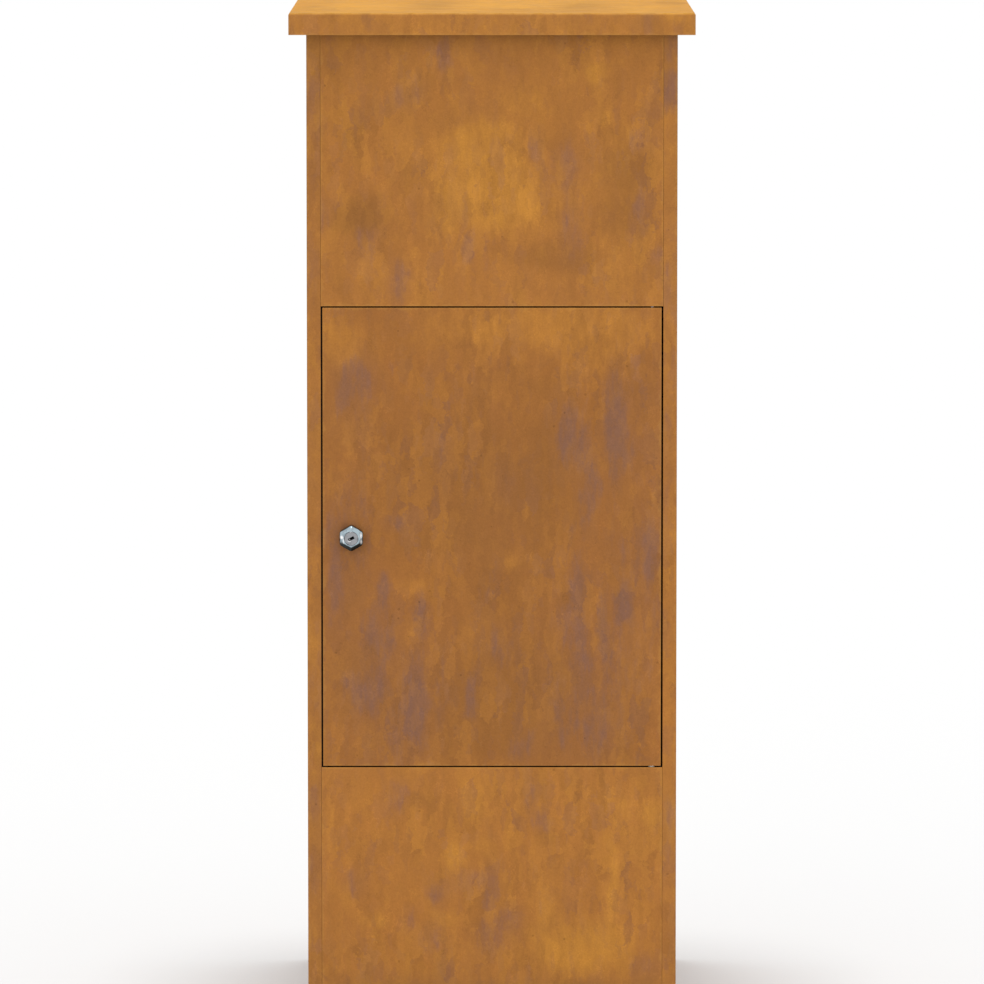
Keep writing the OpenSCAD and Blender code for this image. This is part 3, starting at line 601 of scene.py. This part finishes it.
def patchesOf(look, tone):
    faces = [("YXZ", faceDepth, look.get(tone, []))]
    if "side" in look:
        faces.append((look["side"]["axes"], look["side"]["at"], look["side"][tone]))
    for axes, at, patches in faces:
        for across, up, wide, high, amount in patches:
            centre = onFace(axes, at, across * mm, up * mm)
            yield centre, onFace(axes, patchDeep, wide * mm, high * mm), amount


def litTopTone(tree, height, color, top):  # painted light: the level top gets its own tone for the overhead light on it, scaled and hazed
    onTop = smoothStep(tree, height, top["low"], top["high"])
    pale = mixColor(tree, top["hazeAmount"], vectorCalc(tree, "MULTIPLY", color, top["light"]), top["haze"])
    return mixColor(tree, onTop, color, pale)


def paintedSeamShade(tree, where, color, shell, finish):  # painted shade: a near-black rim where sheet edges meet in the seams, and darker hidden faces
    depth = place(tree, depthGroup, {"Vector": where, "Low": shell[0], "High": shell[1]}).outputs[0]
    hidden = smoothStep(tree, depth, *finish["rimEnd"])
    shaded = vectorCalc(tree, "MULTIPLY", color, finish["hiddenShade"])
    shaded = mixColor(tree, finish["hiddenAmount"], shaded, finish["hiddenColor"])
    rim = calc(tree, "MULTIPLY", smoothStep(tree, depth, *finish["rim"]),
               smoothStep(tree, depth, *finish["rimEnd"], 1.0, 0.0))
    return mixColor(tree, rim, mixColor(tree, hidden, color, shaded), finish["rimColor"])


def gapDirt(tree, level, color, finish):  # painted shade behind the door's gaps: steel near them, deeper than the door's face, turns near-black
    away = []
    for axis in "XZ":
        spot = calc(tree, "ABSOLUTE", calc(tree, "SUBTRACT", level[axis], doorway["middle"][axis]))
        away.append(calc(tree, "SUBTRACT", spot, doorway["half"][axis]))
    away = calc(tree, "ABSOLUTE", calc(tree, "MAXIMUM", *away))
    near, far = finish["gapDirtDeep"]
    shadeMask = calc(tree, "MULTIPLY", smoothStep(tree, away, *finish["gapDirt"]),
                smoothStep(tree, level["Y"], faceDepth + near, faceDepth + far))
    return mixColor(tree, shadeMask, color, finish["gapDirtColor"])


def rustMaterial(name, look, finish, box=None):
    paint, tree, shader, where = newMaterial(name)
    seed = look["seed"]
    bent = place(tree, wanderGroup, {"Vector": where, "Seed": seed}).outputs[0]
    masks = {}
    for step, tone in enumerate(everyTone):
        scale, stretch, cover, strength = look["drift"][tone]
        drift = place(tree, driftGroup, {
            "Vector": bent, "Seed": seed + finish["toneShift"] * step,
            "Scale": scale, "Stretch": stretch, "Cover": cover})
        mask = calc(tree, "MULTIPLY", drift.outputs[0], strength)
        for centre, size, amount in patchesOf(look, tone):
            mask = place(tree, patchGroup, {
                "Vector": bent, "Centre": centre, "Size": size, "Strength": amount,
                "So Far": mask}).outputs[0]
        masks[tone.capitalize()] = mask
    rust = place(tree, rustGroup, {
        "Vector": where, "Seed": seed, "Mottle": look["mottle"], **masks, **look["tones"]})
    color, rough = rust.outputs["Color"], rust.outputs["Roughness"]
    level = split(tree, where)
    if "top" in look:
        # painted light on the level top
        color = litTopTone(tree, level["Z"], color, look["top"])
    if box:
        # painted shade in the seams and on hidden faces
        color = paintedSeamShade(tree, where, color, roofBox if "top" in look else shellBox, finish)
        edge = place(tree, edgeGroup, {
            "Vector": where, "Low": box[0], "High": box[1], "Width": finish["edgeWidth"],
            "Seed": seed}).outputs[0]
        color = mixColor(tree, calc(tree, "MULTIPLY", edge, finish["edgeAmount"]), color, finish["edgeColor"])
        rough = calc(tree, "ADD", rough, calc(tree, "MULTIPLY", edge, finish["edgeRoughness"]))
    else:
        # painted shade behind the door's gaps
        color = gapDirt(tree, level, color, finish)
    splash = place(tree, driftGroup, {
        "Vector": where, "Seed": seed + finish["footShift"], "Scale": finish["footScale"],
        "Cover": finish["footCover"]}).outputs[0]
    foot = smoothStep(tree, level["Z"], 0.0, finish["foot"], finish["footAmount"], 0.0)
    color = mixColor(tree, calc(tree, "MULTIPLY", foot, splash), color, finish["footColor"])
    feed(tree, shader, {"Base Color": color, "Roughness": rough, "Specular IOR Level": finish["specular"]})
    addBump(tree, shader, rust.outputs["Height"], finish["bumpStrength"], finish["bumpDepth"])
    return paint


zincLook = {
    "color": (0.42, 0.42, 0.41, 1.0), "dull": (0.26, 0.24, 0.22, 1.0), "roughness": (0.3, 0.55), "seed": 51.0,
    "stretch": 1.0, "rust": 0.3, "rustColor": (0.26, 0.11, 0.04, 1.0)}
chromeLook = {
    # the blue-grey colour is a painted reflection of the sky
    "color": (0.42, 0.52, 0.57, 1.0), "dull": (0.28, 0.34, 0.38, 1.0), "roughness": (0.12, 0.3), "seed": 57.0,
    "stretch": 0.3, "rust": 0.0, "rustColor": (0.2, 0.1, 0.05, 1.0),
    # where the painted shade and dark reflection start and are full, in mm from the lock's middle: at the
    # rim, round the plug and below
    "grime": (0.034, 0.040, 0.040, 1.0), "rim": (10.8, 11.5), "ring": (7.4, 8.3), "below": (-1.5, -5.5),
    # painted highlights, given as the patches are
    "bright": [(-9.6, 1.2, 1.5, 1.7, 1.0), (9.9, 3.0, 1.0, 2.6, 0.9), (6.6, 1.4, 0.8, 1.6, 0.7),
               (-7.9, -2.4, 0.7, 2.2, 0.7), (10.2, -3.5, 1.0, 2.0, 0.5)]}
plugLook = {
    "color": (0.33, 0.335, 0.35, 1.0), "dull": (0.23, 0.235, 0.25, 1.0), "roughness": (0.25, 0.45),
    "seed": 61.0, "stretch": 0.2, "rust": 0.0, "rustColor": (0.2, 0.1, 0.05, 1.0),
    # painted shade at the plug's rim and in its keyway recess, and a painted highlight beside the keyway
    "grime": (0.010, 0.011, 0.012, 1.0), "rim": (6.5, 7.0), "recess": (0.0003, 0.0008),
    "bright": [(-1.9, -2.3, 1.3, 0.8, 1.0)]}
metalGrain = {
    "worn": (160.0, 4.0, 0.6), "wornStep": (0.42, 0.68), "roughStep": (0.3, 0.7),
    "scratch": (1500.0, 2.0, 0.5), "scratchShift": 2.0, "bumpStrength": 0.12, "bumpDepth": 0.00005,
    "spots": (260.0, 5.0, 0.65), "spotsShift": 4.0, "spotsStep": (0.56, 0.72), "spotsRoughness": 0.4,
    "raggedRim": 0.0015, "white": (1.0, 1.0, 1.0, 1.0)}
nylonLook = {
    "color": (0.95, 0.88, 0.76, 1.0), "stain": (0.62, 0.40, 0.2, 1.0), "stainNoise": (400.0, 4.0, 0.6),
    "stainSeed": 3.0, "stainStep": (0.5, 0.75, 0.0, 0.15), "grain": (2500.0, 2.0, 0.5), "grainSeed": 5.0,
    "roughStep": (0.3, 0.7, 0.4, 0.5), "bumpStrength": 0.1, "bumpDepth": 0.00003}


lockMiddle = (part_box("lock_body")[0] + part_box("lock_body")[1]) / 2


def lockShadeAndHighlights(tree, where, worn, color, look, grain):  # painted shade round the head, a painted dark reflection under it, and painted highlights
    middle = (lockMiddle.x, 0.0, lockMiddle.z)
    across, deep, up = split(tree, vectorCalc(tree, "SUBTRACT", where, middle))
    wide, tall = calc(tree, "ABSOLUTE", across), calc(tree, "ABSOLUTE", up)
    slanted = calc(tree, "ADD", calc(tree, "MULTIPLY", wide, 0.5),
                   calc(tree, "MULTIPLY", tall, math.sqrt(0.75)))
    reach = calc(tree, "MAXIMUM", slanted, wide)  # grows from the middle in hexagons like the head's
    ragged = calc(tree, "MULTIPLY", calc(tree, "SUBTRACT", worn, 0.5), grain["raggedRim"])
    reach = calc(tree, "ADD", reach, ragged)
    shadeMask = smoothStep(tree, reach, *(edge * mm for edge in look["rim"]))
    if "ring" in look:
        under = calc(tree, "MULTIPLY", smoothStep(tree, reach, *(edge * mm for edge in look["ring"])),
                     smoothStep(tree, up, *(edge * mm for edge in look["below"])))
        shadeMask = calc(tree, "MAXIMUM", shadeMask, under)
    # painted shade deep in the keyway
    if "recess" in look:
        inward = calc(tree, "SUBTRACT", deep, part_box("lock_plug")[0].y)
        shadeMask = calc(tree, "MAXIMUM", shadeMask, smoothStep(tree, inward, *look["recess"]))
    # painted highlights
    highlight = 0.0
    for x, z, halfWide, halfHigh, amount in look["bright"]:
        highlight = place(tree, patchGroup, {
            "Vector": where, "Centre": (lockMiddle.x + x * mm, lockMiddle.y, lockMiddle.z + z * mm),
            "Size": (halfWide * mm, 1.0, halfHigh * mm), "Strength": amount, "So Far": highlight}).outputs[0]
    return mixColor(tree, highlight, mixColor(tree, shadeMask, color, look["grime"]), grain["white"])


def metalMaterial(name, look, grain):
    paint, tree, shader, where = newMaterial(name)
    seed = look["seed"]
    drawn = vectorCalc(tree, "MULTIPLY", where, (1.0, look["stretch"], 1.0))
    worn = noise(tree, where, seed, *grain["worn"])
    scratch = noise(tree, drawn, seed + grain["scratchShift"], *grain["scratch"])
    color = mixColor(tree, smoothStep(tree, worn, *grain["wornStep"]), look["color"], look["dull"])
    spots = noise(tree, where, seed + grain["spotsShift"], *grain["spots"])
    spots = smoothStep(tree, spots, *grain["spotsStep"], 0.0, look["rust"])
    color = mixColor(tree, spots, color, look["rustColor"])
    if "grime" in look:
        # painted shade, dark reflection and highlights on the lock
        color = lockShadeAndHighlights(tree, where, worn, color, look, grain)
    rough = smoothStep(tree, worn, *grain["roughStep"], *look["roughness"])
    rough = calc(tree, "ADD", rough, calc(tree, "MULTIPLY", spots, grain["spotsRoughness"]))
    metal = calc(tree, "SUBTRACT", 1.0, spots, clamp=True)
    feed(tree, shader, {"Base Color": color, "Roughness": rough, "Metallic": metal})
    addBump(tree, shader, scratch, grain["bumpStrength"], grain["bumpDepth"])
    return paint


def nylonMaterial(name, look):
    paint, tree, shader, where = newMaterial(name)
    stain = smoothStep(tree, noise(tree, where, look["stainSeed"], *look["stainNoise"]), *look["stainStep"])
    grain = noise(tree, where, look["grainSeed"], *look["grain"])
    feed(tree, shader, {"Base Color": mixColor(tree, stain, look["color"], look["stain"]),
                        "Roughness": smoothStep(tree, grain, *look["roughStep"])})
    addBump(tree, shader, grain, look["bumpStrength"], look["bumpDepth"])
    return paint


skinLooks = {
    "left_side_panel": leftLook, "right_side_panel": rightLook, "upper_door_side_panel": upperLook,
    "lower_door_side_panel": lowerLook, "slot_side_panel": slotSideLook, "roof_cap": roofLook,
    "door_sheet": doorLook, "slot_flap": flapLook,
}
paints = {n: rustMaterial(n + "Rust", look, rustFinish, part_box(n)) for n, look in skinLooks.items()}
slotPaints = {
    "rusted_inner_steel": rustMaterial("innerSteel", innerLook, rustFinish),
    "zinc_steel": metalMaterial("zincSteel", zincLook, metalGrain),
    "lock_chrome": metalMaterial("lockChrome", chromeLook, metalGrain),
    "lock_plug_metal": metalMaterial("plugMetal", plugLook, metalGrain),
    "white_nylon": nylonMaterial("washerNylon", nylonLook),
}
print("Materials are built:", len(paints) + len(slotPaints))


# Pieces made from the frame's nodes, with their sharp edges eased

# width of the eased edges of sheets, angles in degrees, and the distance at which points are joined
edgeEase = {"sheet": 0.00025, "sharpFrom": 32.0, "flatBelow": 0.5, "weld": 0.000001, "steps": 2}
easeOf = {"roof_nuts": 0.0005, "floor_nuts": 0.0005, "lock_nut": 0.0005, "lock_body": 0.0003,
          "lock_plug": 0.0002, "hinge_washer": 0.00015, "rod_clips": 0.0002, "floor_screws": 0.0006,
          "cam_screw": 0.0006, "upper_hinge_pin": 0.0004, "lower_hinge_pin": 0.0004}


def easedPiece(node, ease):
    shape = bmesh.new()
    shape.from_mesh(frame["nodes"][node].data)
    bmesh.ops.remove_doubles(shape, verts=shape.verts, dist=edgeEase["weld"])
    bmesh.ops.dissolve_limit(shape, angle_limit=math.radians(edgeEase["flatBelow"]),
                             verts=shape.verts, edges=shape.edges)
    limit = math.radians(edgeEase["sharpFrom"])
    sharp = [e for e in shape.edges if e.is_manifold and e.calc_face_angle() > limit]
    bmesh.ops.bevel(shape, geom=sharp, offset=ease, offset_type="OFFSET", segments=edgeEase["steps"],
                    profile=0.5, affect="EDGES", clamp_overlap=False, material=-1)
    for face in shape.faces:
        face.smooth = True
    first, *rest = node.split("_")
    name = first + "".join(word.capitalize() for word in rest)
    mesh = bpy.data.meshes.new(name)
    shape.to_mesh(mesh)
    shape.free()
    piece = bpy.data.objects.new(name, mesh)
    scene.collection.objects.link(piece)
    shading = piece.modifiers.new("faceShading", "WEIGHTED_NORMAL")
    shading.keep_sharp = True
    mesh.materials.append(paints.get(node) or slotPaints[slotOf[node]])
    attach(piece, bodyOf[node])
    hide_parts(node)
    return piece


for node in frame["nodes"]:
    easedPiece(node, easeOf.get(node, edgeEase["sheet"]))
print("Eased copies stand for the frame's nodes:", len(frame["nodes"]))


# Weld stitches, laid as short rippled beads where the steel parts meet

beadForm = {"sides": 8, "tip": 0.45, "dip": 0.82, "ringsPerRipple": 2}  # tip and dip are shares of the radius


def layBead(shape, middle, along, setup):
    along = along.normalized()
    rings = beadForm["ringsPerRipple"] * round(setup["stitch"] / setup["ripple"])
    step = along * (setup["stitch"] / rings)
    spot = middle - along * (setup["stitch"] / 2)
    aim = Matrix.Translation(spot) @ along.to_track_quat("Z", "Y").to_matrix().to_4x4()
    size = setup["radius"] * beadForm["tip"]
    ring = bmesh.ops.create_circle(shape, cap_ends=True, segments=beadForm["sides"], radius=size, matrix=aim)
    end = ring["verts"][0].link_faces[0]
    for count in range(1, rings + 1):
        grown = bmesh.ops.extrude_face_region(shape, geom=[end])["geom"]
        end = next(part for part in grown if isinstance(part, bmesh.types.BMFace))
        corners = list(end.verts)
        bmesh.ops.translate(shape, verts=corners, vec=step)
        spot = spot + step
        share = beadForm["tip"] if count == rings else 1.0 if count % 2 else beadForm["dip"]
        target = setup["radius"] * share
        bmesh.ops.scale(shape, verts=corners, vec=[target / size] * 3, space=Matrix.Translation(-spot))
        size = target


def layStitches(shape, start, end, count, setup):
    start, end = Vector(start), Vector(end)
    for number in range(count):
        layBead(shape, start.lerp(end, (number + 0.5) / count), end - start, setup)


def finishPiece(shape, name, body, paint):
    bmesh.ops.recalc_face_normals(shape, faces=shape.faces)
    for face in shape.faces:
        face.smooth = True
    mesh = bpy.data.meshes.new(name)
    shape.to_mesh(mesh)
    shape.free()
    mesh.materials.append(paint)
    piece = bpy.data.objects.new(name, mesh)
    scene.collection.objects.link(piece)
    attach(piece, body)
    return piece


weldPaint = rustMaterial("weldRust", weldLook, rustFinish)
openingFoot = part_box("lower_door_side_panel")[1].z
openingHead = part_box("upper_door_side_panel")[0].z

strapWeld = {"stitch": 0.016, "ripple": 0.002, "radius": 0.0015, "spacing": 0.12, "sink": 0.0004}
straps = ("left_door_side_strap", "right_door_side_strap", "left_slot_side_strap", "right_slot_side_strap")


def makeStrapWelds(setup):  # along both edges of the straps behind the upright seams
    shape = bmesh.new()
    for node in straps:
        low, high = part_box(node)
        side = 1 if low.x > 0 else -1
        inner, outer = sorted((low.x, high.x), key=abs)
        backed, bare = sorted((low.y, high.y), key=abs, reverse=True)
        inward = math.copysign(setup["sink"], -backed)
        spans = [(low.z, high.z)]
        if backed < 0:  # the door lies before the strap between its two ends
            spans = [(low.z, openingFoot), (openingHead, high.z)]
        edge, face = inner - side * setup["sink"], backed + inward * 2
        for foot, head in spans:
            count = max(2, round((head - foot) / setup["spacing"]))
            layStitches(shape, (edge, face, foot), (edge, face, head), count, setup)
        corner = outer + side * setup["sink"]
        count = round((high.z - low.z) / setup["spacing"])
        layStitches(shape, (corner, bare, low.z), (corner, bare, high.z), count, setup)
    finishPiece(shape, "strapWelds", "housing", weldPaint)


angleWeld = {"stitch": 0.022, "ripple": 0.0022, "radius": 0.0019, "count": 5, "sink": 0.0006, "pinGap": 0.003}


def makeAngleWelds(setup):  # along the far edges of the angles above and below the door
    shape = bmesh.new()
    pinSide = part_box("upper_hinge_pin")[0].x - setup["pinGap"]
    for node, upwards in (("door_head_angle", 1), ("door_sill_angle", -1)):
        low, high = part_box(node)
        z = high.z + setup["sink"] if upwards > 0 else low.z - setup["sink"]
        y = low.y + setup["sink"]
        layStitches(shape, (low.x, y, z), (pinSide, y, z), setup["count"], setup)
    finishPiece(shape, "openingAngleWelds", "housing", weldPaint)


doorWeld = {"stitch": 0.014, "ripple": 0.002, "radius": 0.0014, "count": 5, "sink": 0.0004, "pinGap": 0.002}


def makeDoorWelds(setup):  # round the stiffeners and the hinge lugs
    shape = bmesh.new()
    for node in ("upper_door_stiffener", "lower_door_stiffener"):
        low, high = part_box(node)
        y = low.y + setup["sink"]
        for z in (low.z - setup["sink"], high.z + setup["sink"]):
            layStitches(shape, (low.x, y, z), (high.x, y, z), setup["count"], setup)
    for node, upwards in (("upper_door_lug", -1), ("lower_door_lug", 1)):
        low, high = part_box(node)
        y = low.y + setup["sink"]
        z = high.z + setup["sink"] if upwards > 0 else low.z - setup["sink"]
        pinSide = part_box("upper_hinge_pin")[0].x - setup["pinGap"]
        layStitches(shape, (low.x, y, z), (pinSide, y, z), 1, setup)
        edge = low.x - setup["sink"]
        layStitches(shape, (edge, y, low.z), (edge, y, high.z), 1, setup)
    finishPiece(shape, "doorWelds", "door", weldPaint)


shelfWeld = {"stitch": 0.02, "ripple": 0.0022, "radius": 0.0017, "count": 4, "sink": 0.0005}


def makeShelfWelds(setup):  # under the floor's angles and over the base tray's lips
    shape = bmesh.new()
    for side in (-1, 1):
        angleLow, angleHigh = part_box("right_floor_angle")
        wall = side * (angleHigh.x - setup["sink"] * 2)
        z = angleLow.z - setup["sink"]
        layStitches(shape, (wall, angleLow.y, z), (wall, angleHigh.y, z), setup["count"], setup)
        trayLow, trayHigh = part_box("base_tray")
        z = trayHigh.z + setup["sink"]
        layStitches(shape, (wall, trayLow.y, z), (wall, trayHigh.y, z), setup["count"], setup)
    finishPiece(shape, "shelfWelds", "housing", weldPaint)


slotWeld = {"stitch": 0.012, "ripple": 0.0018, "radius": 0.0013, "count": 4, "sink": 0.0004}


def makeSlotWelds(setup):  # over the deflector's flange and beside the feet of the flap's ears
    shape = bmesh.new()
    low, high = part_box("letter_deflector")
    y, z = high.y - setup["sink"], high.z + setup["sink"]
    layStitches(shape, (low.x, y, z), (high.x, y, z), setup["count"], setup)
    low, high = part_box("right_flap_ear")
    y = low.y + setup["sink"] * 2
    for side in (-1, 1):
        edge = side * (high.x + setup["sink"])
        layStitches(shape, (edge, y, low.z), (edge, y, high.z), 1, setup)
    finishPiece(shape, "slotWelds", "housing", weldPaint)


roofWeld = {"stitch": 0.018, "ripple": 0.002, "radius": 0.0016, "inset": 0.0018, "top": 0.0025, "foot": 0.001}


def makeRoofWelds(setup):  # inside the roof's four folded corners
    shape = bmesh.new()
    for x in (roofLow.x + setup["inset"], roofHigh.x - setup["inset"]):
        for y in (roofLow.y + setup["inset"], roofHigh.y - setup["inset"]):
            layStitches(shape, (x, y, roofLow.z + setup["foot"]), (x, y, roofHigh.z - setup["top"]), 1, setup)
    finishPiece(shape, "roofCornerWelds", "housing", weldPaint)


makeStrapWelds(strapWeld)
makeAngleWelds(angleWeld)
makeDoorWelds(doorWeld)
makeShelfWelds(shelfWeld)
makeSlotWelds(slotWeld)
makeRoofWelds(roofWeld)
print("Weld stitches are laid")


# Threads on the studs, the floor's screws and the lock's barrel

def layThread(shape, start, axis, radius, length, setup):
    start, axis = Vector(start), Vector(axis)
    across = axis.orthogonal().normalized()
    half = setup["pitch"] * threadForm["flank"]
    root = start + across * (radius - threadForm["root"])
    crest = start + across * (radius + setup["crest"])
    corners = [shape.verts.new(spot) for spot in (root - axis * half, crest, root + axis * half)]
    profile = shape.faces.new(corners)
    turns = length / setup["pitch"]
    steps = round(turns * setup["steps"])
    bmesh.ops.spin(shape, geom=[profile, *profile.edges, *profile.verts], cent=start, axis=axis,
                   dvec=axis * (length / steps), angle=math.tau * turns, steps=steps, use_merge=False)


threadForm = {"root": 0.0002, "flank": 0.36}  # how deep it is sunk, and half its width in pitches
studThread = {"diameter": 0.006, "pitch": 0.0008, "crest": 0.0002, "steps": 16}
screwThread = {"diameter": 0.005, "pitch": 0.0007, "crest": 0.0002, "steps": 16}
barrelThread = {"diameter": 0.0186, "pitch": 0.001, "crest": 0.0003, "steps": 32}
nutFlats = 1.65  # width of a nut over its flats, as a share of its thread


def threadFour(name, threaded, nuts, setup):  # the bare tips of four upright screws, below their nuts
    shape = bmesh.new()
    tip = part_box(threaded)[0].z + setup["pitch"] * 0.5
    nutLow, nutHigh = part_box(nuts)
    flats = nutFlats * setup["diameter"]
    middleX = (nutHigh.x + nutLow.x) / 2
    reachX = (nutHigh.x - nutLow.x) / 2 - flats / math.sqrt(3)
    reachY = (nutHigh.y - nutLow.y) / 2 - flats / 2
    length = nutLow.z - tip - setup["pitch"] * 0.5
    for sideX in (-1, 1):
        for sideY in (-1, 1):
            foot = (middleX + sideX * reachX, sideY * reachY, tip)
            layThread(shape, foot, (0, 0, 1), setup["diameter"] / 2, length, setup)
    finishPiece(shape, name, "housing", slotPaints["zinc_steel"])


threadFour("studThreads", "roof_studs", "roof_nuts", studThread)
threadFour("floorScrewThreads", "floor_screws", "floor_nuts", screwThread)


def makeBarrelThread(setup):
    shape = bmesh.new()
    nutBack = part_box("lock_nut")[1].y
    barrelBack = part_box("lock_body")[1].y
    foot = (lockMiddle.x, nutBack + setup["pitch"] * 0.5, lockMiddle.z)
    layThread(shape, foot, (0, 1, 0), setup["diameter"] / 2, barrelBack - nutBack - setup["pitch"], setup)
    finishPiece(shape, "barrelThread", "door", slotPaints["lock_chrome"])


makeBarrelThread(barrelThread)
print("Threads are cut")
